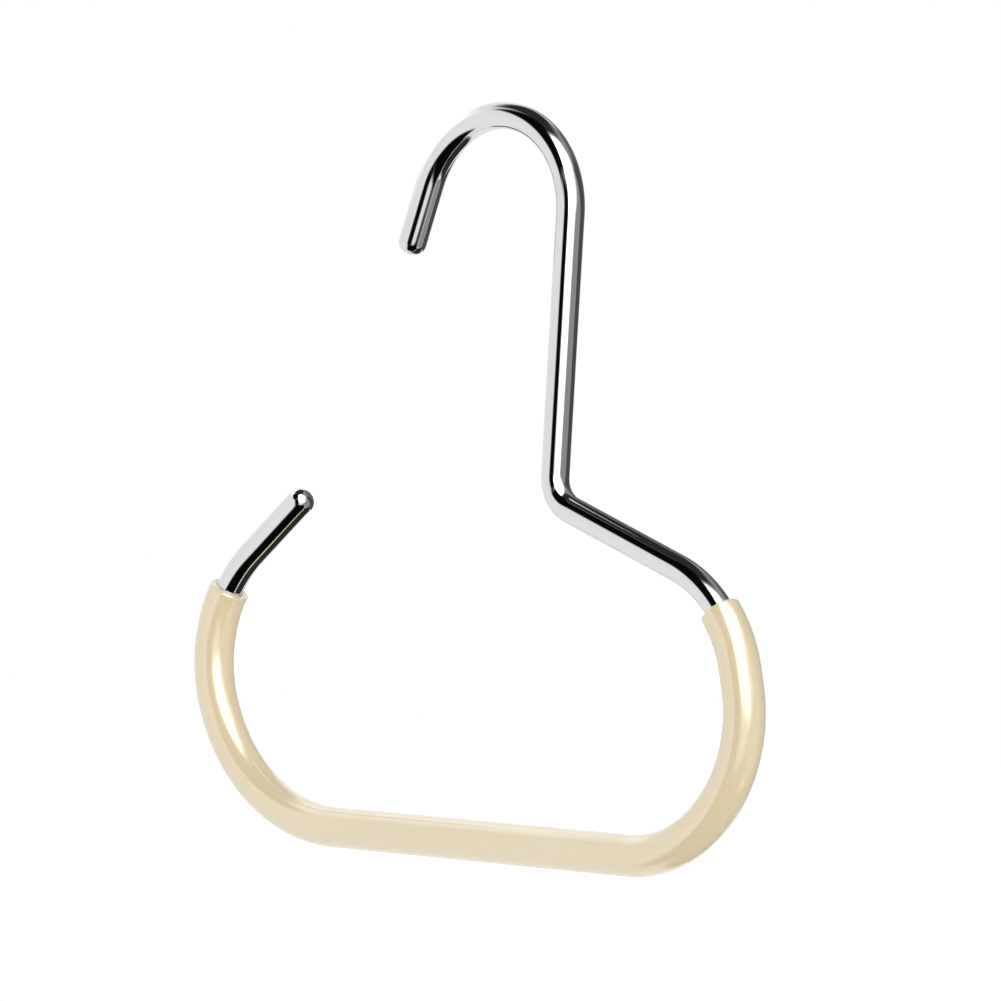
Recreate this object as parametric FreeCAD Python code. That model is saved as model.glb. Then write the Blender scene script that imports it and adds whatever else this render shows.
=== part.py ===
import FreeCAD, Part
import math
import os
from dataclasses import dataclass

# Scarf hanger: one round wire, bent in a single plane into a hook, a shank and an open loop,
# with a soft tube sleeve pushed over the loop so that a scarf doesn't slip.
# The origin is the top of the hook's inside, where it bears on a rod. The wire lies in the XZ plane.
# Lengths are millimetres and angles are degrees. Bend radii are those of the inside of the bend.

# Wire
WIRE_DIAMETER = 6.0
WIRE_END_ROUND = 2.7

# Hook over the rod, with its tip leg standing out from plumb
HOOK_INNER_DIAMETER = 35.0
HOOK_TIP_LEG = 15.7
HOOK_TIP_FLARE = 18.0

# Plumb shank, and the neck that turns it into the shoulder
SHANK_LENGTH = 54.0
NECK_INNER_RADIUS = 4.5

# Shoulder, sloping down to the right
SHOULDER_LENGTH = 31.5
SHOULDER_SLOPE = 20.0

# Loop: the right side leans inwards as it rises, the bar is level, and the heel rolls up to the left
LOOP_INNER_RADIUS = 25.5
RIGHT_SIDE_LENGTH = 3.5
RIGHT_SIDE_LEAN = 14.0
BAR_LENGTH = 82.5
HEEL_INNER_RADIUS = 37.0
HEEL_TURN = 66.5

# Free arm, rising from the left side towards the neck
ARM_LENGTH = 20.7
ARM_SLOPE = 41.0

# Sleeve: its tube, and the bare wire left between it and the neck and beyond it on the arm
SLEEVE_WALL = 1.4
SLEEVE_CLEARANCE = 0.03
NECK_TO_SLEEVE = 46.0
SLEEVE_TO_ARM_TIP = 30.7

# Headings round the path, from +X, falling as the wire turns clockwise seen from the front
QUARTER_TURN = 90.0
FULL_TURN = 4 * QUARTER_TURN
RIGHT = 0.0
DOWN = RIGHT - QUARTER_TURN
LEFT = DOWN - QUARTER_TURN

# Points nearer than this are the same point
SAME_POINT = 0.001


def along(heading):
    """Unit vector of a heading in the XZ plane."""
    angle = math.radians(heading)
    return FreeCAD.Vector(math.cos(angle), 0, math.sin(angle))


def left_of(heading):
    """Unit vector a quarter turn to the left of a heading."""
    return along(heading + QUARTER_TURN)


@dataclass
class Stretch:
    """A straight run, or a bend that turns by an angle, left being positive."""

    start: FreeCAD.Vector
    heading: float
    length: float
    turn: float = 0.0

    def heading_at(self, distance):
        """Heading at a distance along the stretch."""
        return self.heading + self.turn * distance / self.length

    def point_at(self, distance):
        """Point at a distance along the stretch."""
        if not self.turn:
            return self.start + along(self.heading) * distance
        radius = self.length / math.radians(self.turn)
        centre = self.start + left_of(self.heading) * radius
        return centre - left_of(self.heading_at(distance)) * radius

    def between(self, first, last):
        """The piece of the stretch between two distances along it."""
        share = (last - first) / self.length
        return Stretch(self.point_at(first), self.heading_at(first), last - first, self.turn * share)

    def edge(self):
        """The stretch as a line or an arc."""
        end = self.point_at(self.length)
        if not self.turn:
            return Part.LineSegment(self.start, end).toShape()
        return Part.Arc(self.start, self.point_at(self.length / 2), end).toShape()


class Route:
    """The wire's centreline, laid out one run or bend after another, each tangent to the last."""

    def __init__(self, start, heading):
        self.point = start
        self.heading = heading
        self.stretches = []

    def add(self, length, turn):
        """Lay out one more stretch."""
        stretch = Stretch(self.point, self.heading, length, turn)
        self.stretches.append(stretch)
        self.point = stretch.point_at(length)
        self.heading += turn

    def run(self, length):
        """Lay out a straight run."""
        self.add(length, 0.0)

    def bend(self, inner_radius, heading):
        """Lay out a bend that ends on a heading."""
        turn = heading - self.heading
        radius = inner_radius + WIRE_DIAMETER / 2
        self.add(radius * math.radians(abs(turn)), turn)

    def length(self):
        """Length of what is laid out so far."""
        return sum(stretch.length for stretch in self.stretches)

    def between(self, first, last):
        """The stretches between two distances along the route."""
        pieces = []
        passed = 0.0
        for stretch in self.stretches:
            low = max(first - passed, 0.0)
            high = min(last - passed, stretch.length)
            if high > low:
                pieces.append(stretch.between(low, high))
            passed += stretch.length
        return pieces


def lay_out_wire():
    """Centreline from the hook's tip to the arm's tip, and the distance along it to the neck's end."""
    hook_radius = (HOOK_INNER_DIAMETER + WIRE_DIAMETER) / 2
    hook_centre = FreeCAD.Vector(0, 0, -HOOK_INNER_DIAMETER / 2)
    tip_heading = RIGHT + QUARTER_TURN - HOOK_TIP_FLARE
    tip = hook_centre + left_of(tip_heading) * hook_radius - along(tip_heading) * HOOK_TIP_LEG

    route = Route(tip, tip_heading)
    route.run(HOOK_TIP_LEG)
    route.bend(HOOK_INNER_DIAMETER / 2, DOWN)
    route.run(SHANK_LENGTH)
    route.bend(NECK_INNER_RADIUS, RIGHT - SHOULDER_SLOPE)
    neck_end = route.length()
    route.run(SHOULDER_LENGTH)
    route.bend(LOOP_INNER_RADIUS, DOWN + RIGHT_SIDE_LEAN)
    route.run(RIGHT_SIDE_LENGTH)
    route.bend(LOOP_INNER_RADIUS, LEFT)
    route.run(BAR_LENGTH)
    route.bend(HEEL_INNER_RADIUS, LEFT - HEEL_TURN)
    route.bend(LOOP_INNER_RADIUS, ARM_SLOPE - FULL_TURN)
    route.run(ARM_LENGTH)
    return route, neck_end


def disc(stretch, diameter):
    """A round face square to a stretch, at its start."""
    ring = Part.Circle(stretch.start, along(stretch.heading), diameter / 2)
    return Part.Face(Part.Wire([ring.toShape()]))


def sweep(section, stretches):
    """A solid of one section along the stretches."""
    spine = Part.Wire([stretch.edge() for stretch in stretches])
    return spine.makePipe(section)


def hanger_wire(route):
    """The bent wire, with its two ends domed."""
    first = route.stretches[0]
    bar = sweep(disc(first, WIRE_DIAMETER), route.stretches)
    tips = Part.Compound([Part.Vertex(first.start), Part.Vertex(route.point)])
    end_edges = [edge for edge in bar.Edges if tips.distToShape(Part.Vertex(edge.CenterOfMass))[0] < SAME_POINT]
    return bar.makeFillet(WIRE_END_ROUND, end_edges)


def grip_sleeve(route, neck_end):
    """The soft tube over the loop, cut square at both ends."""
    covered = route.between(neck_end + NECK_TO_SLEEVE, route.length() - SLEEVE_TO_ARM_TIP)
    bore_diameter = WIRE_DIAMETER + 2 * SLEEVE_CLEARANCE
    outer = disc(covered[0], bore_diameter + 2 * SLEEVE_WALL)
    ring = outer.cut(disc(covered[0], bore_diameter)).Faces[0]
    return sweep(ring, covered)


def main():
    """Build both pieces and write each to its own file."""
    os.makedirs("parts", exist_ok=True)
    route, neck_end = lay_out_wire()
    pieces = {
        "hanger_wire": hanger_wire(route),
        "grip_sleeve": grip_sleeve(route, neck_end),
    }
    for name, shape in pieces.items():
        shape.exportStep(os.path.join("parts", name + ".step"))
        print(name, "valid", shape.isValid(), "solids", len(shape.Solids), "volume %.1f mm3" % shape.Volume)


main()
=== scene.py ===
"""Scarf hanger: a polished wire and a soft sleeve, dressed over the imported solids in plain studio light."""

import logging
import math
from dataclasses import dataclass, field
from enum import Enum

import bpy
from mathutils import Matrix, Vector


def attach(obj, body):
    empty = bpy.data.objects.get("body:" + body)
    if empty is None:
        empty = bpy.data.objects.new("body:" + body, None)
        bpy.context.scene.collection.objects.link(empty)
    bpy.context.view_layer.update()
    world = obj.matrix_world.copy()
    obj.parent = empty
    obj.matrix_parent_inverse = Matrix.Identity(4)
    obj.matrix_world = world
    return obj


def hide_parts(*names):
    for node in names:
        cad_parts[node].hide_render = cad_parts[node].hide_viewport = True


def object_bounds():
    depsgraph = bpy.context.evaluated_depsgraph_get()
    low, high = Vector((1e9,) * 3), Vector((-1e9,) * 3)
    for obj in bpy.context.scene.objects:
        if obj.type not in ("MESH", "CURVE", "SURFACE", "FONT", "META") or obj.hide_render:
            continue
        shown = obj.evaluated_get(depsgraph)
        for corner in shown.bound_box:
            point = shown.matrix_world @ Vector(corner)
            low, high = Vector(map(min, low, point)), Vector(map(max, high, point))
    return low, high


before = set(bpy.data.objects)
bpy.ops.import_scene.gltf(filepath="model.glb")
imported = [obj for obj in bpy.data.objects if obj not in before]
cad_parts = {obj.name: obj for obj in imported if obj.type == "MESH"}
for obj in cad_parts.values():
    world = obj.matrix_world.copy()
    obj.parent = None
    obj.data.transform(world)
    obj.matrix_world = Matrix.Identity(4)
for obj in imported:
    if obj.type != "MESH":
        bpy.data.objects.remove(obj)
CAD_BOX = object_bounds()

LOG = logging.getLogger("scarf_hanger")
ROOT_BODY = "root"
MM = 0.001
QUARTER_TURN = math.pi / 2
FULL_TURN = 2 * math.pi

# Mesh attribute that holds each vertex's place with the wire pulled straight
STRAIGHTENED = "straightened"
# UV map that spans a card's face
CARD_UV = "card"
# Corners of a square about its middle, and the face that joins them
SQUARE = ((-1, -1), (1, -1), (1, 1), (-1, 1))
SQUARE_FACE = (0, 1, 2, 3)
# Most of a noise factor lies between these
NOISE_LOW = 0.3
NOISE_HIGH = 0.7

Triple = tuple[float, float, float]


class Heading(float, Enum):
    """Headings round the wire, in radians from +X, falling as the wire turns clockwise."""

    RIGHT = 0.0
    DOWN = -QUARTER_TURN
    LEFT = -2 * QUARTER_TURN


class EndStyle(Enum):
    """How the first and last rings of a swept mesh are finished."""

    CAPPED = "capped"
    LOOPED = "looped"


class NoiseDetail(float, Enum):
    """How many finer layers a noise texture has."""

    PLAIN = 2.0
    RICH = 3.0


class Tone(float, Enum):
    """How bright a reflection card looks to a polished surface, white surroundings being 1."""

    BLACK = 0.003
    SOOT = 0.03
    SLATE = 0.083
    ASH = 0.16
    GREY = 0.334
    GLOW = 1.2
    LIT = 1.6
    BRIGHT = 4.0


def along(heading: float) -> Vector:
    """Unit vector of a heading in the plane of the wire."""
    return Vector((math.cos(heading), 0.0, math.sin(heading)))


def left_of(heading: float) -> Vector:
    """Unit vector a quarter turn to the left of a heading."""
    return along(heading + QUARTER_TURN)


def spread(first: float, last: float, count: int) -> list[float]:
    """Evenly spaced values from the first to the last, with a count of steps between them."""
    return [first + (last - first) * i / count for i in range(count + 1)]


@dataclass(frozen=True)
class Stretch:
    """A straight run, or a bend where it turns, left being positive."""

    start: Vector
    heading: float
    length: float
    turn: float

    def heading_at(self, distance: float) -> float:
        """Heading at a distance along the stretch."""
        return self.heading + self.turn * distance / self.length

    def point_at(self, distance: float) -> Vector:
        """Find a point on the stretch.

        Args:
            distance: Metres along it.

        Returns:
            The point there.
        """
        if not self.turn:
            return self.start + along(self.heading) * distance
        radius = self.length / self.turn
        centre = self.start + left_of(self.heading) * radius
        return centre - left_of(self.heading_at(distance)) * radius


class Route:
    """The wire's centreline, laid out one run or bend after another."""

    def __init__(self, start: Vector, heading: float) -> None:
        """Start a route.

        Args:
            start: Its first point.
            heading: Its first heading, in radians.
        """
        self.point = start
        self.heading = heading
        self.stretches: list[Stretch] = []

    def add(self, length: float, turn: float) -> None:
        """Lay out one more stretch.

        Args:
            length: Its length along the centreline.
            turn: How far it turns, in radians.
        """
        stretch = Stretch(self.point, self.heading, length, turn)
        self.stretches.append(stretch)
        self.point = stretch.point_at(length)
        self.heading += turn

    def run(self, length: float) -> None:
        """Lay out a straight run."""
        self.add(length, 0.0)

    def bend(self, radius: float, heading: float) -> None:
        """Lay out a bend of a centreline radius that ends on a heading."""
        turn = heading - self.heading
        self.add(radius * abs(turn), turn)

    @property
    def length(self) -> float:
        """Length of what is laid out so far."""
        return sum(stretch.length for stretch in self.stretches)

    def place(self, distance: float) -> tuple[Vector, float]:
        """Find where a distance along the route falls.

        Args:
            distance: Metres from the route's start.

        Returns:
            The point there and the heading there.
        """
        left = distance
        for stretch in self.stretches[:-1]:
            if left <= stretch.length:
                return stretch.point_at(left), stretch.heading_at(left)
            left -= stretch.length
        last = self.stretches[-1]
        return last.point_at(left), last.heading_at(left)


@dataclass(frozen=True)
class Ring:
    """One ring of a swept mesh: its distance along the route and its radius."""

    distance: float
    radius: float


@dataclass(frozen=True)
class RingSweep:
    """A mesh of round rings strung along a route."""

    name: str
    route: Route
    rings: list[Ring]
    ends: EndStyle
    sides: int

    def points(self) -> tuple[list[Vector], list[Vector]]:
        """Work out every vertex.

        Returns:
            The points in place, and the same points with the route pulled straight along X.
        """
        placed: list[Vector] = []
        straight: list[Vector] = []
        for ring in self.rings:
            centre, heading = self.route.place(ring.distance)
            across = left_of(heading)
            for step in range(self.sides):
                angle = FULL_TURN * step / self.sides
                side = ring.radius * math.cos(angle)
                depth = ring.radius * math.sin(angle)
                placed.append(centre + across * side + Vector((0.0, depth, 0.0)))
                straight.append(Vector((ring.distance, depth, side)))
        return placed, straight

    def faces(self) -> list[tuple[int, ...]]:
        """Join the rings with four-sided faces, and close the ends.

        Returns:
            The vertex numbers of each face, all facing outwards.
        """
        count = len(self.rings)
        sides = self.sides
        bands = count if self.ends is EndStyle.LOOPED else count - 1
        made: list[tuple[int, ...]] = []
        for band in range(bands):
            low = band * sides
            high = (band + 1) % count * sides
            for step in range(sides):
                after = (step + 1) % sides
                made.append((low + step, low + after, high + after, high + step))
        if self.ends is EndStyle.CAPPED:
            made.append(tuple(reversed(range(sides))))
            made.append(tuple(range((count - 1) * sides, count * sides)))
        return made

    def build(self) -> bpy.types.Object:
        """Make the mesh object.

        Returns:
            A smooth-shaded object, which keeps the straightened points as an attribute.
        """
        placed, straight = self.points()
        mesh = bpy.data.meshes.new(self.name)
        mesh.from_pydata(placed, [], self.faces())
        mesh.validate()
        mesh.shade_smooth()
        attribute = mesh.attributes.new(STRAIGHTENED, "FLOAT_VECTOR", "POINT")
        attribute.data.foreach_set("vector", [value for point in straight for value in point])
        piece = bpy.data.objects.new(self.name, mesh)
        bpy.context.scene.collection.objects.link(piece)
        return piece


class ShaderTree:
    """A node tree under construction, with short calls for the nodes that the finishes share."""

    def __init__(self, tree: bpy.types.NodeTree) -> None:
        """Take over the node tree of a material or a world, and empty it."""
        self.tree = tree
        tree.nodes.clear()

    def node(self, kind: str, **settings: object) -> bpy.types.Node:
        """Add a node.

        Args:
            kind: The node's type name.
            settings: Properties to set on it.

        Returns:
            The new node.
        """
        made = self.tree.nodes.new(kind)
        for name, value in settings.items():
            setattr(made, name, value)
        return made

    def link(self, source: bpy.types.NodeSocket, target: bpy.types.NodeSocket) -> None:
        """Join two sockets."""
        self.tree.links.new(source, target)

    def math(self, operation: str, first: object, second: object) -> bpy.types.NodeSocket:
        """Add a Math node.

        Args:
            operation: The operation's name.
            first: A number or a socket.
            second: A number or a socket.

        Returns:
            The result's socket.
        """
        node = self.node("ShaderNodeMath", operation=operation)
        for socket, value in zip(node.inputs, (first, second)):
            if isinstance(value, bpy.types.NodeSocket):
                self.link(value, socket)
            else:
                socket.default_value = value
        return node.outputs[0]

    def along_wire(self, stretch: Triple) -> bpy.types.NodeSocket:
        """Coordinates that follow the bends of the wire.

        Args:
            stretch: Scale along the wire, and across it twice.

        Returns:
            The scaled vector's socket.
        """
        source = self.node("ShaderNodeAttribute", attribute_name=STRAIGHTENED)
        scaled = self.node("ShaderNodeVectorMath", operation="MULTIPLY")
        self.link(source.outputs["Vector"], scaled.inputs[0])
        scaled.inputs[1].default_value = stretch
        return scaled.outputs[0]

    def noise(self, stretch: Triple, detail: NoiseDetail) -> bpy.types.NodeSocket:
        """Add a noise texture that follows the bends of the wire.

        Args:
            stretch: Features per metre along the wire, and across it twice.
            detail: How many finer layers are added.

        Returns:
            The factor's socket.
        """
        vector = self.along_wire(stretch)
        node = self.node("ShaderNodeTexNoise")
        node.inputs["Scale"].default_value = 1.0
        node.inputs["Detail"].default_value = detail.value
        self.link(vector, node.inputs["Vector"])
        return node.outputs["Fac"]

    def span(self, value: bpy.types.NodeSocket, low: float, high: float) -> bpy.types.NodeSocket:
        """Map the middle of a noise factor onto a range.

        Args:
            value: The factor's socket.
            low: Result at the factor's low end.
            high: Result at its high end.

        Returns:
            The result's socket.
        """
        node = self.node("ShaderNodeMapRange", interpolation_type="SMOOTHSTEP")
        self.link(value, node.inputs["Value"])
        node.inputs["From Min"].default_value = NOISE_LOW
        node.inputs["From Max"].default_value = NOISE_HIGH
        node.inputs["To Min"].default_value = low
        node.inputs["To Max"].default_value = high
        return node.outputs["Result"]

    def blend(self, factor: bpy.types.NodeSocket, first: Triple, second: Triple) -> bpy.types.NodeSocket:
        """Mix two colours.

        Args:
            factor: The factor's socket.
            first: Colour at 0, linear.
            second: Colour at 1, linear.

        Returns:
            The mixed colour's socket.
        """
        node = self.node("ShaderNodeMix", data_type="RGBA")
        self.link(factor, node.inputs["Factor"])
        node.inputs["A"].default_value = (*first, 1.0)
        node.inputs["B"].default_value = (*second, 1.0)
        return next(socket for socket in node.outputs if socket.type == "RGBA")

    def bump(self, height: bpy.types.NodeSocket, depth: float) -> bpy.types.NodeSocket:
        """Add a bump.

        Args:
            height: The height's socket.
            depth: How deep a full step is, in metres.

        Returns:
            The normal's socket.
        """
        node = self.node("ShaderNodeBump")
        node.inputs["Strength"].default_value = 1.0
        node.inputs["Distance"].default_value = depth
        self.link(height, node.inputs["Height"])
        return node.outputs["Normal"]

    def seen(self) -> bpy.types.NodeSocket:
        """Tell whether the eye, a mirror or glass looks here.

        Returns:
            A socket that is 1 for camera, glossy and transmission rays.
        """
        path = self.node("ShaderNodeLightPath")
        mirrored = self.math("MAXIMUM", path.outputs["Is Glossy Ray"], path.outputs["Is Transmission Ray"])
        return self.math("MAXIMUM", path.outputs["Is Camera Ray"], mirrored)

    def surface(self, shader: bpy.types.NodeSocket, kind: str = "ShaderNodeOutputMaterial") -> None:
        """Send a shader to the tree's output."""
        self.link(shader, self.node(kind).inputs["Surface"])


def new_material(name: str) -> tuple[bpy.types.Material, ShaderTree]:
    """Start a material.

    Args:
        name: Its name.

    Returns:
        The material and its emptied tree.
    """
    material = bpy.data.materials.new(name)
    material.use_nodes = True
    return material, ShaderTree(material.node_tree)


@dataclass(frozen=True)
class PolishedChrome:
    """Bright plate over drawn wire: polishing lines along it, and faint smears from handling."""

    name: str = "polished_chrome"
    plate: Triple = (0.735, 0.735, 0.74)
    smeared_plate: Triple = (0.70, 0.70, 0.705)
    line_stretch: Triple = (25.0, 2600.0, 2600.0)
    smear_stretch: Triple = (60.0, 180.0, 180.0)
    clean_roughness: float = 0.035
    smeared_roughness: float = 0.075
    line_depth: float = 0.0006 * MM

    def build(self) -> bpy.types.Material:
        """Make the material.

        Returns:
            A metal whose lines and smears follow the wire.
        """
        material, tree = new_material(self.name)
        smears = tree.noise(self.smear_stretch, NoiseDetail.RICH)
        lines = tree.noise(self.line_stretch, NoiseDetail.PLAIN)
        shader = tree.node("ShaderNodeBsdfPrincipled")
        shader.inputs["Metallic"].default_value = 1.0
        tree.link(tree.blend(smears, self.plate, self.smeared_plate), shader.inputs["Base Color"])
        rough = tree.span(smears, self.clean_roughness, self.smeared_roughness)
        tree.link(rough, shader.inputs["Roughness"])
        tree.link(tree.bump(lines, self.line_depth), shader.inputs["Normal"])
        tree.surface(shader.outputs["BSDF"])
        return material


@dataclass(frozen=True)
class SoftVinyl:
    """Extruded cream vinyl: a faint skin texture, drawn lines along it and a slightly uneven colour."""

    name: str = "cream_vinyl"
    cream: Triple = (0.79, 0.665, 0.43)
    deep_cream: Triple = (0.76, 0.61, 0.36)
    mottle_stretch: Triple = (35.0, 120.0, 120.0)
    line_stretch: Triple = (18.0, 1500.0, 1500.0)
    skin_stretch: Triple = (1800.0, 1800.0, 1800.0)
    glossy_roughness: float = 0.15
    dull_roughness: float = 0.24
    line_depth: float = 0.004 * MM
    skin_depth: float = 0.003 * MM
    refraction: float = 1.75
    coat: float = 1.0
    coat_refraction: float = 1.75
    coat_roughness: float = 0.10
    bloom: float = 0.35
    bloom_roughness: float = 0.6
    softness: float = 0.12
    glow_radius: Triple = (1.0, 0.62, 0.35)
    glow_depth: float = 0.8 * MM

    def build(self) -> bpy.types.Material:
        """Make the material.

        Returns:
            A glossy skin over a slightly translucent body.
        """
        material, tree = new_material(self.name)
        mottle = tree.noise(self.mottle_stretch, NoiseDetail.RICH)
        lines = tree.noise(self.line_stretch, NoiseDetail.PLAIN)
        skin = tree.noise(self.skin_stretch, NoiseDetail.PLAIN)
        shader = tree.node("ShaderNodeBsdfPrincipled")
        tree.link(tree.blend(mottle, self.cream, self.deep_cream), shader.inputs["Base Color"])
        rough = tree.span(mottle, self.glossy_roughness, self.dull_roughness)
        tree.link(rough, shader.inputs["Roughness"])
        line_height = tree.math("MULTIPLY", lines, self.line_depth / MM)
        skin_height = tree.math("MULTIPLY", skin, self.skin_depth / MM)
        tree.link(tree.bump(tree.math("ADD", line_height, skin_height), MM), shader.inputs["Normal"])
        shader.inputs["IOR"].default_value = self.refraction
        shader.inputs["Coat Weight"].default_value = self.coat
        shader.inputs["Coat IOR"].default_value = self.coat_refraction
        shader.inputs["Coat Roughness"].default_value = self.coat_roughness
        shader.inputs["Sheen Weight"].default_value = self.bloom
        shader.inputs["Sheen Roughness"].default_value = self.bloom_roughness
        shader.inputs["Subsurface Weight"].default_value = self.softness
        shader.inputs["Subsurface Radius"].default_value = self.glow_radius
        shader.inputs["Subsurface Scale"].default_value = self.glow_depth
        tree.surface(shader.outputs["BSDF"])
        return material


@dataclass(frozen=True)
class CutVinyl:
    """The sleeve's cut end: paler than its skin, the paleness partly a painted highlight, with knife marks
    across it.
    """

    name: str = "cut_vinyl"
    # Both tones are paler than the skin, and part of that is a painted highlight on the cut face
    pale_with_painted_highlight: Triple = (0.87, 0.815, 0.70)
    marked: Triple = (0.83, 0.765, 0.63)
    mark_stretch: Triple = (300.0, 200.0, 1500.0)
    roughness: float = 0.24
    mark_depth: float = 0.0006 * MM
    refraction: float = 1.7

    def build(self) -> bpy.types.Material:
        """Make the material.

        Returns:
            A pale face, its paleness partly a painted highlight, with faint marks.
        """
        material, tree = new_material(self.name)
        marks = tree.noise(self.mark_stretch, NoiseDetail.PLAIN)
        shader = tree.node("ShaderNodeBsdfPrincipled")
        # The pale tones mixed here carry a painted highlight, and the knife marks vary them
        tree.link(tree.blend(marks, self.pale_with_painted_highlight, self.marked), shader.inputs["Base Color"])
        tree.link(tree.bump(marks, self.mark_depth), shader.inputs["Normal"])
        shader.inputs["Roughness"].default_value = self.roughness
        shader.inputs["IOR"].default_value = self.refraction
        tree.surface(shader.outputs["BSDF"])
        return material


@dataclass(frozen=True)
class PaleFloor:
    """A white floor that reads as white, and still takes the object's shadow."""

    name: str = "pale_floor"
    albedo: float = 0.93
    lift: float = 0.18

    def build(self) -> bpy.types.Material:
        """Make the material.

        Returns:
            White paint, lifted a little where it is looked at.
        """
        material, tree = new_material(self.name)
        paint = tree.node("ShaderNodeBsdfDiffuse")
        paint.inputs["Color"].default_value = (self.albedo, self.albedo, self.albedo, 1.0)
        glow = tree.node("ShaderNodeEmission")
        tree.link(tree.math("MULTIPLY", tree.seen(), self.lift), glow.inputs["Strength"])
        both = tree.node("ShaderNodeAddShader")
        tree.link(paint.outputs[0], both.inputs[0])
        tree.link(glow.outputs[0], both.inputs[1])
        tree.surface(both.outputs[0])
        return material


@dataclass(frozen=True)
class CardFace:
    """A reflection card's face: one brightness, fading out over a share of its width and height."""

    tone: Tone
    side_fade: float
    end_fade: float

    def build(self) -> bpy.types.Material:
        """Make the material.

        Returns:
            A glow that is clear at the card's edges.
        """
        material, tree = new_material(f"card_{self.tone.name.lower()}")
        where = tree.node("ShaderNodeUVMap", uv_map=CARD_UV)
        parts = tree.node("ShaderNodeSeparateXYZ")
        tree.link(where.outputs["UV"], parts.inputs[0])
        sides = self.edge_mask(tree, parts.outputs["X"], self.side_fade)
        ends = self.edge_mask(tree, parts.outputs["Y"], self.end_fade)
        glow = tree.node("ShaderNodeEmission")
        glow.inputs["Strength"].default_value = self.tone.value
        clear = tree.node("ShaderNodeBsdfTransparent")
        mix = tree.node("ShaderNodeMixShader")
        tree.link(tree.math("MULTIPLY", sides, ends), mix.inputs["Fac"])
        tree.link(clear.outputs[0], mix.inputs[1])
        tree.link(glow.outputs[0], mix.inputs[2])
        tree.surface(mix.outputs[0])
        return material

    def edge_mask(
        self, tree: ShaderTree, across: bpy.types.NodeSocket, fade: float
    ) -> bpy.types.NodeSocket:
        """Fade towards two opposite edges of the card.

        Args:
            tree: The material's tree.
            across: A coordinate from 0 at one edge to 1 at the other.
            fade: How far the fade reaches in from each edge.

        Returns:
            A socket that is 1 in the middle and 0 at the edges.
        """
        near = tree.math("MINIMUM", across, tree.math("SUBTRACT", 1.0, across))
        node = tree.node("ShaderNodeMapRange", interpolation_type="SMOOTHSTEP")
        tree.link(near, node.inputs["Value"])
        node.inputs["From Max"].default_value = fade
        return node.outputs["Result"]


@dataclass
class HangerShape:
    """The sizes that the wire and the sleeve share, in metres and degrees."""

    wire_diameter: float = 6.0 * MM
    hook_inner_diameter: float = 35.0 * MM
    hook_tip_leg: float = 15.7 * MM
    hook_tip_flare: float = 18.0
    shank_length: float = 54.0 * MM
    neck_inner_radius: float = 4.5 * MM
    shoulder_length: float = 31.5 * MM
    shoulder_slope: float = 20.0
    loop_inner_radius: float = 25.5 * MM
    right_side_length: float = 3.5 * MM
    right_side_lean: float = 14.0
    bar_length: float = 82.5 * MM
    heel_inner_radius: float = 37.0 * MM
    heel_turn: float = 66.5
    arm_length: float = 20.7 * MM
    arm_slope: float = 41.0
    neck_end: float = field(init=False)
    route: Route = field(init=False)

    def __post_init__(self) -> None:
        """Lay out the centreline from the hook's tip to the arm's tip."""
        half = self.wire_diameter / 2
        hook_radius = self.hook_inner_diameter / 2 + half
        centre = Vector((0.0, 0.0, -self.hook_inner_diameter / 2))
        tip_heading = Heading.RIGHT + QUARTER_TURN - math.radians(self.hook_tip_flare)
        tip = centre + left_of(tip_heading) * hook_radius - along(tip_heading) * self.hook_tip_leg
        route = Route(tip, tip_heading)
        route.run(self.hook_tip_leg)
        route.bend(hook_radius, Heading.DOWN)
        route.run(self.shank_length)
        route.bend(self.neck_inner_radius + half, Heading.RIGHT - math.radians(self.shoulder_slope))
        self.neck_end = route.length
        route.run(self.shoulder_length)
        route.bend(self.loop_inner_radius + half, Heading.DOWN + math.radians(self.right_side_lean))
        route.run(self.right_side_length)
        route.bend(self.loop_inner_radius + half, Heading.LEFT)
        route.run(self.bar_length)
        route.bend(self.heel_inner_radius + half, Heading.LEFT - math.radians(self.heel_turn))
        route.bend(self.loop_inner_radius + half, math.radians(self.arm_slope) - FULL_TURN)
        route.run(self.arm_length)
        self.route = route


@dataclass
class HangerWire:
    """The bent wire, with its two ends domed."""

    shape: HangerShape
    finish: PolishedChrome = field(default_factory=PolishedChrome)
    name: str = "chrome_wire"
    node: str = "hanger_wire"
    slot: str = "chromed_wire"
    skin_inset: float = 0.002 * MM
    end_round: float = 2.7 * MM
    ring_pitch: float = 0.75 * MM
    sides: int = 72
    flat_steps: int = 3
    round_steps: int = 10

    @property
    def radius(self) -> float:
        """Radius of the wire's skin."""
        return self.shape.wire_diameter / 2 - self.skin_inset

    def end_rings(self) -> list[Ring]:
        """Rings from the small flat on an end out over its dome.

        Returns:
            The rings, with distances measured from the end.
        """
        flat = self.radius - self.end_round
        rings = [Ring(0.0, flat * step / self.flat_steps) for step in range(1, self.flat_steps)]
        for angle in spread(0.0, QUARTER_TURN, self.round_steps):
            reach = self.end_round * (1 - math.cos(angle))
            rings.append(Ring(reach, flat + self.end_round * math.sin(angle)))
        return rings

    def rings(self) -> list[Ring]:
        """String the rings along the wire.

        Returns:
            Every ring from the hook's tip to the arm's tip.
        """
        ends = self.end_rings()
        total = self.shape.route.length
        steps = round((total - 2 * self.end_round) / self.ring_pitch)
        body = spread(self.end_round, total - self.end_round, steps)[1:-1]
        far = [Ring(total - ring.distance, ring.radius) for ring in reversed(ends)]
        return ends + [Ring(distance, self.radius) for distance in body] + far

    def build(self) -> bpy.types.Object:
        """Make the wire, finish it and stand it in for its solid.

        Returns:
            The dressed wire.
        """
        piece = RingSweep(self.name, self.shape.route, self.rings(), EndStyle.CAPPED, self.sides).build()
        piece.data.materials.append(self.finish.build())
        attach(piece, ROOT_BODY)
        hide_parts(self.node)
        return piece


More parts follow.
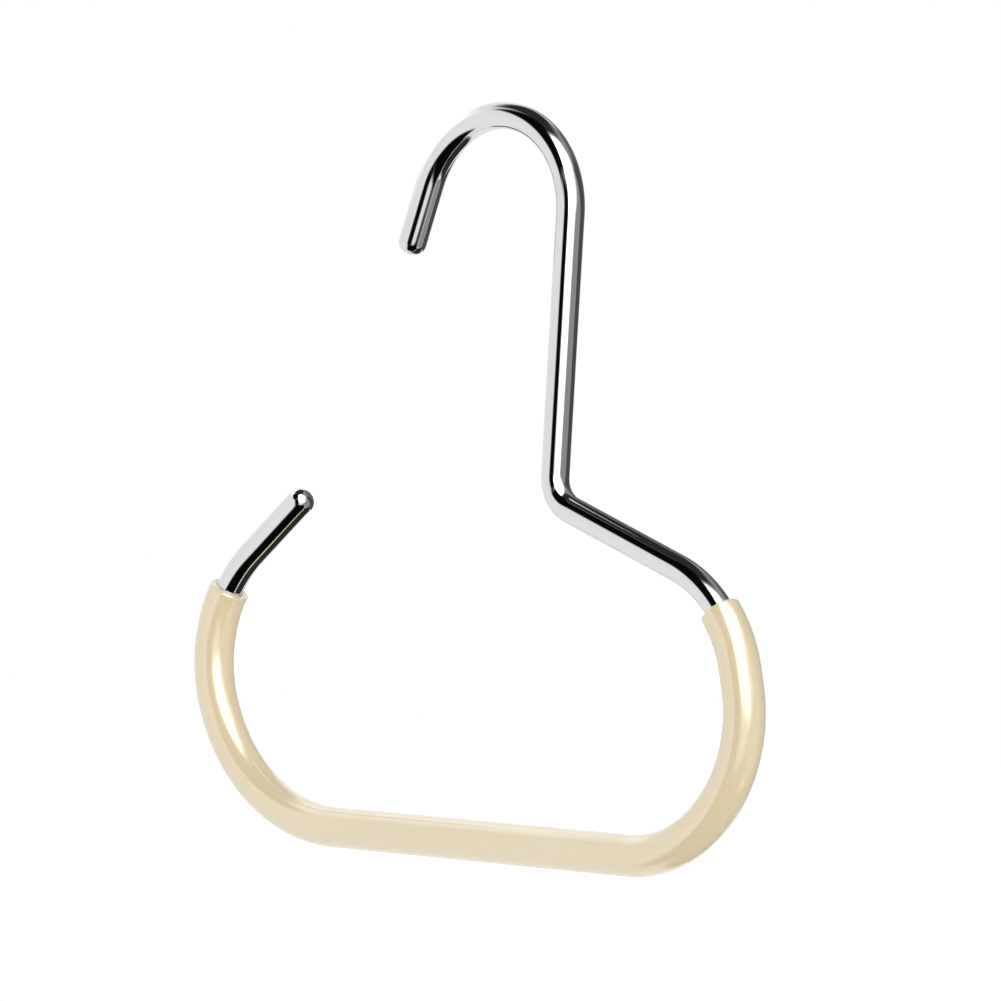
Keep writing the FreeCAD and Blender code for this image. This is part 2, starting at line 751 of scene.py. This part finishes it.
@dataclass
class GripSleeve:
    """The soft tube over the loop, cut square, with a slightly uneven skin."""

    shape: HangerShape
    skin: SoftVinyl = field(default_factory=SoftVinyl)
    cut: CutVinyl = field(default_factory=CutVinyl)
    name: str = "vinyl_sleeve"
    node: str = "grip_sleeve"
    slot: str = "cream_sleeve"
    wall: float = 1.4 * MM
    clearance: float = 0.03 * MM
    skin_inset: float = 0.015 * MM
    neck_to_sleeve: float = 46.0 * MM
    sleeve_to_arm_tip: float = 30.7 * MM
    edge_round: float = 0.3 * MM
    bore_round: float = 0.06 * MM
    cut_tolerance: float = 0.03 * MM
    cut_index: int = 1
    ripple: float = 0.012 * MM
    short_wave: float = 7.3 * MM
    long_wave: float = 11.9 * MM
    wave_shift: float = 1.0
    ring_pitch: float = 0.75 * MM
    sides: int = 80
    round_steps: int = 5

    @property
    def bore_radius(self) -> float:
        """Radius of the sleeve's bore."""
        return self.shape.wire_diameter / 2 + self.clearance

    @property
    def outer_radius(self) -> float:
        """Radius of the sleeve's skin."""
        return self.bore_radius + self.wall - self.skin_inset

    @property
    def reach(self) -> tuple[float, float]:
        """Distances along the wire to the sleeve's two ends."""
        return self.shape.neck_end + self.neck_to_sleeve, self.shape.route.length - self.sleeve_to_arm_tip

    def skin_radius(self, distance: float) -> float:
        """Radius of the skin, which dips a hair where the tube was drawn unevenly."""
        waves = math.sin(distance / self.short_wave) + math.sin(distance / self.long_wave + self.wave_shift)
        return self.outer_radius - self.ripple * (1 + waves / 2)

    def end_rings(self) -> list[Ring]:
        """Rings from the bore over the cut face and round the outer edge.

        Returns:
            The rings, with distances measured from the end.
        """
        inner = self.bore_round
        outer = self.edge_round
        angles = spread(0.0, QUARTER_TURN, self.round_steps)
        rings = []
        for angle in angles:
            reach = inner * (1 - math.sin(angle))
            rings.append(Ring(reach, self.bore_radius + inner * (1 - math.cos(angle))))
        for angle in angles:
            reach = outer * (1 - math.cos(angle))
            rings.append(Ring(reach, self.outer_radius - outer * (1 - math.sin(angle))))
        return rings

    def rings(self) -> list[Ring]:
        """String the rings round the sleeve's wall.

        Returns:
            Every ring: over the first cut face, along the skin, over the second, and back along the bore.
        """
        first, last = self.reach
        ends = self.end_rings()
        steps = round((last - first) / self.ring_pitch)
        body = spread(first + self.edge_round, last - self.edge_round, steps)[1:-1]
        near = [Ring(first + ring.distance, ring.radius) for ring in ends]
        far = [Ring(last - ring.distance, ring.radius) for ring in reversed(ends)]
        skin = [Ring(distance, self.skin_radius(distance)) for distance in body]
        bore = [Ring(distance, self.bore_radius) for distance in reversed(body)]
        return near + skin + far + bore

    def build(self) -> bpy.types.Object:
        """Make the sleeve, finish it and stand it in for its solid.

        Returns:
            The dressed sleeve.
        """
        piece = RingSweep(self.name, self.shape.route, self.rings(), EndStyle.LOOPED, self.sides).build()
        piece.data.materials.append(self.skin.build())
        piece.data.materials.append(self.cut.build())
        self.mark_cut_faces(piece.data)
        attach(piece, ROOT_BODY)
        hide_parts(self.node)
        return piece

    def mark_cut_faces(self, mesh: bpy.types.Mesh) -> None:
        """Give the two flat cut faces their own finish.

        Args:
            mesh: The sleeve's mesh.
        """
        first, last = self.reach
        straight = mesh.attributes[STRAIGHTENED].data
        for face in mesh.polygons:
            reaches = [straight[vertex].vector.x for vertex in face.vertices]
            if max(reaches) < first + self.cut_tolerance or min(reaches) > last - self.cut_tolerance:
                face.material_index = self.cut_index


@dataclass(frozen=True)
class PhotoCamera:
    """A long lens, almost level, turned round towards the shoulder's side and rolled a little.

    Angles are degrees, lengths are metres and the sensor is in millimetres.
    """

    name: str = "photo_camera"
    azimuth: float = 42.22
    elevation: float = -0.82
    roll: float = 3.27
    distance: float = 1.2306
    aim: Triple = (5.66 * MM, 0.0, -77.09 * MM)
    focal_pixels: float = 5924.0
    image_pixels: float = 1001.0
    sensor: float = 36.0

    def direction(self, azimuth: float, elevation: float) -> Vector:
        """Direction from the object, with azimuth measured from the camera's towards the image's right.

        Args:
            azimuth: Degrees round from the camera.
            elevation: Degrees above the horizon.

        Returns:
            A unit vector.
        """
        turn = math.radians(self.azimuth + azimuth)
        rise = math.radians(elevation)
        level = Vector((math.sin(turn), -math.cos(turn), 0.0))
        return level * math.cos(rise) + Vector((0.0, 0.0, math.sin(rise)))

    def build(self) -> bpy.types.Object:
        """Make the camera and set it as the scene's.

        Returns:
            The camera, aimed at the middle of the object.
        """
        data = bpy.data.cameras.new(self.name)
        data.sensor_width = self.sensor
        data.lens = self.sensor * self.focal_pixels / self.image_pixels
        camera = bpy.data.objects.new(self.name, data)
        bpy.context.scene.collection.objects.link(camera)
        back = self.direction(0.0, self.elevation)
        turned = (-back).to_track_quat("-Z", "Y").to_matrix().to_4x4()
        rolled = turned @ Matrix.Rotation(math.radians(self.roll), 4, "Z")
        camera.matrix_world = Matrix.Translation(Vector(self.aim) + back * self.distance) @ rolled
        bpy.context.scene.camera = camera
        return camera


@dataclass(frozen=True)
class ReflectionCard:
    """A studio card that only polished surfaces see, placed by direction from the object.

    Angles are degrees, as is the card's size seen from the object, and the distance is metres.
    """

    name: str
    face: CardFace
    azimuth: float
    elevation: float
    width: float
    height: float
    tilt: float
    distance: float

    def build(self, camera: PhotoCamera) -> bpy.types.Object:
        """Make the card.

        Args:
            camera: The camera that azimuths are measured from.

        Returns:
            The card, facing the object.
        """
        half_width = self.distance * math.tan(math.radians(self.width / 2))
        half_height = self.distance * math.tan(math.radians(self.height / 2))
        corners = [(x * half_width, y * half_height, 0.0) for x, y in SQUARE]
        mesh = bpy.data.meshes.new(self.name)
        mesh.from_pydata(corners, [], [SQUARE_FACE])
        layer = mesh.uv_layers.new(name=CARD_UV)
        for loop, (x, y) in zip(layer.data, SQUARE):
            loop.uv = ((x + 1) / 2, (y + 1) / 2)
        mesh.materials.append(self.face.build())
        card = bpy.data.objects.new(self.name, mesh)
        bpy.context.scene.collection.objects.link(card)
        out = camera.direction(self.azimuth, self.elevation)
        facing = out.to_track_quat("Z", "Y").to_matrix().to_4x4()
        tilted = facing @ Matrix.Rotation(math.radians(self.tilt), 4, "Z")
        card.matrix_world = Matrix.Translation(Vector(camera.aim) + out * self.distance) @ tilted
        card.visible_camera = False
        card.visible_diffuse = False
        card.visible_shadow = False
        return card


@dataclass(frozen=True)
class SoftLamp:
    """A large soft source that mirrors don't show, placed by direction from the object, in degrees."""

    name: str
    strength: float
    azimuth: float
    elevation: float
    softness: float

    def build(self, camera: PhotoCamera) -> bpy.types.Object:
        """Make the lamp.

        Args:
            camera: The camera that azimuths are measured from.

        Returns:
            The lamp, aimed at the object.
        """
        data = bpy.data.lights.new(self.name, "SUN")
        data.energy = self.strength
        data.angle = math.radians(self.softness)
        lamp = bpy.data.objects.new(self.name, data)
        bpy.context.scene.collection.objects.link(lamp)
        toward = camera.direction(self.azimuth, self.elevation)
        lamp.matrix_world = toward.to_track_quat("Z", "Y").to_matrix().to_4x4()
        lamp.visible_glossy = False
        return lamp


@dataclass
class Studio:
    """White surroundings, two soft lamps, and the cards that give the wire its dark and bright bands."""

    camera: PhotoCamera
    floor_finish: PaleFloor = field(default_factory=PaleFloor)
    floor_drop: float = 0.95
    floor_half_width: float = 30.0
    ambient: float = 0.72
    backdrop: float = 1.0
    lamps: tuple[SoftLamp, ...] = (
        SoftLamp("key", strength=1.12, azimuth=18.0, elevation=15.0, softness=35.0),
        SoftLamp("rear_fill", strength=0.55, azimuth=195.0, elevation=35.0, softness=35.0),
    )

    def cards(self) -> list[ReflectionCard]:
        """List the cards round the object.

        Returns:
            Dark flags below, to the left and above, the softbox and its dimmer surround in front, grey
            cards to the right, a grey flag and a lit card close behind, and a small softbox far behind.
        """
        return [
            ReflectionCard(
                "lower_flag", CardFace(Tone.BLACK, side_fade=0.16, end_fade=0.16),
                azimuth=-7.0, elevation=-55.0, width=90.0, height=71.0, tilt=0.0, distance=0.72,
            ),
            ReflectionCard(
                "lower_right_flag", CardFace(Tone.SOOT, side_fade=0.13, end_fade=0.13),
                azimuth=100.0, elevation=-61.0, width=68.0, height=74.0, tilt=-36.0, distance=0.76,
            ),
            ReflectionCard(
                "strip_flag", CardFace(Tone.BLACK, side_fade=0.26, end_fade=0.26),
                azimuth=-32.0, elevation=0.0, width=47.0, height=72.0, tilt=3.0, distance=0.80,
            ),
            ReflectionCard(
                "left_flag", CardFace(Tone.BLACK, side_fade=0.16, end_fade=0.16),
                azimuth=-57.0, elevation=44.0, width=54.0, height=58.0, tilt=39.0, distance=0.84,
            ),
            ReflectionCard(
                "top_flag", CardFace(Tone.SOOT, side_fade=0.22, end_fade=0.22),
                azimuth=-156.0, elevation=80.0, width=69.0, height=66.0, tilt=7.0, distance=0.88,
            ),
            ReflectionCard(
                "upper_right_card", CardFace(Tone.GREY, side_fade=0.45, end_fade=0.45),
                azimuth=95.0, elevation=60.0, width=62.0, height=44.0, tilt=0.0, distance=0.86,
            ),
            ReflectionCard(
                "softbox", CardFace(Tone.BRIGHT, side_fade=0.08, end_fade=0.24),
                azimuth=12.0, elevation=37.0, width=59.0, height=82.0, tilt=-10.0, distance=1.15,
            ),
            ReflectionCard(
                "softbox_surround", CardFace(Tone.GLOW, side_fade=0.20, end_fade=0.10),
                azimuth=21.0, elevation=32.0, width=77.0, height=80.0, tilt=-3.0, distance=1.35,
            ),
            ReflectionCard(
                "right_wall", CardFace(Tone.GREY, side_fade=0.03, end_fade=0.03),
                azimuth=58.0, elevation=-3.0, width=66.0, height=96.0, tilt=-18.0, distance=1.52,
            ),
            ReflectionCard(
                "far_right_wall", CardFace(Tone.SLATE, side_fade=0.22, end_fade=0.22),
                azimuth=115.0, elevation=12.0, width=84.0, height=104.0, tilt=12.0, distance=1.57,
            ),
            ReflectionCard(
                "shoulder_flag", CardFace(Tone.ASH, side_fade=0.20, end_fade=0.20),
                azimuth=151.0, elevation=32.0, width=45.0, height=47.0, tilt=0.0, distance=0.28,
            ),
            ReflectionCard(
                "rear_left_card", CardFace(Tone.LIT, side_fade=0.40, end_fade=0.45),
                azimuth=-132.0, elevation=36.0, width=64.0, height=34.0, tilt=0.0, distance=0.25,
            ),
            ReflectionCard(
                "rear_softbox", CardFace(Tone.BRIGHT, side_fade=0.30, end_fade=0.30),
                azimuth=183.0, elevation=-9.0, width=24.0, height=24.0, tilt=0.0, distance=1.30,
            ),
        ]

    def build(self) -> None:
        """Make the floor, the surroundings, the lamps and the cards."""
        self.build_floor()
        self.build_surroundings()
        for lamp in self.lamps:
            lamp.build(self.camera)
        for card in self.cards():
            card.build(self.camera)
            LOG.info("card %s", card.name)
        bpy.context.scene.view_settings.view_transform = "Standard"

    def build_floor(self) -> None:
        """Lay the floor well below the hanging object."""
        reach = self.floor_half_width
        height = CAD_BOX[0].z - self.floor_drop
        mesh = bpy.data.meshes.new("floor")
        mesh.from_pydata([(x * reach, y * reach, height) for x, y in SQUARE], [], [SQUARE_FACE])
        mesh.materials.append(self.floor_finish.build())
        floor = bpy.data.objects.new("floor", mesh)
        bpy.context.scene.collection.objects.link(floor)

    def build_surroundings(self) -> None:
        """Make the world white to look at, and a plain fill light otherwise."""
        world = bpy.data.worlds.new("studio")
        world.use_nodes = True
        bpy.context.scene.world = world
        tree = ShaderTree(world.node_tree)
        level = tree.node("ShaderNodeMapRange")
        tree.link(tree.seen(), level.inputs["Value"])
        level.inputs["To Min"].default_value = self.ambient
        level.inputs["To Max"].default_value = self.backdrop
        sky = tree.node("ShaderNodeBackground")
        tree.link(level.outputs["Result"], sky.inputs["Strength"])
        sky.inputs["Color"].default_value = (1.0, 1.0, 1.0, 1.0)
        tree.surface(sky.outputs[0], "ShaderNodeOutputWorld")


def main() -> None:
    """Dress the wire and the sleeve, then set up the camera and the studio."""
    logging.basicConfig(level=logging.INFO, format="%(name)s: %(message)s")
    shape = HangerShape()
    for part in (HangerWire(shape), GripSleeve(shape)):
        piece = part.build()
        LOG.info("piece %s, %d faces, for %s", piece.name, len(piece.data.polygons), part.node)
    camera = PhotoCamera()
    camera.build()
    Studio(camera).build()


if __name__ == "__main__":
    main()
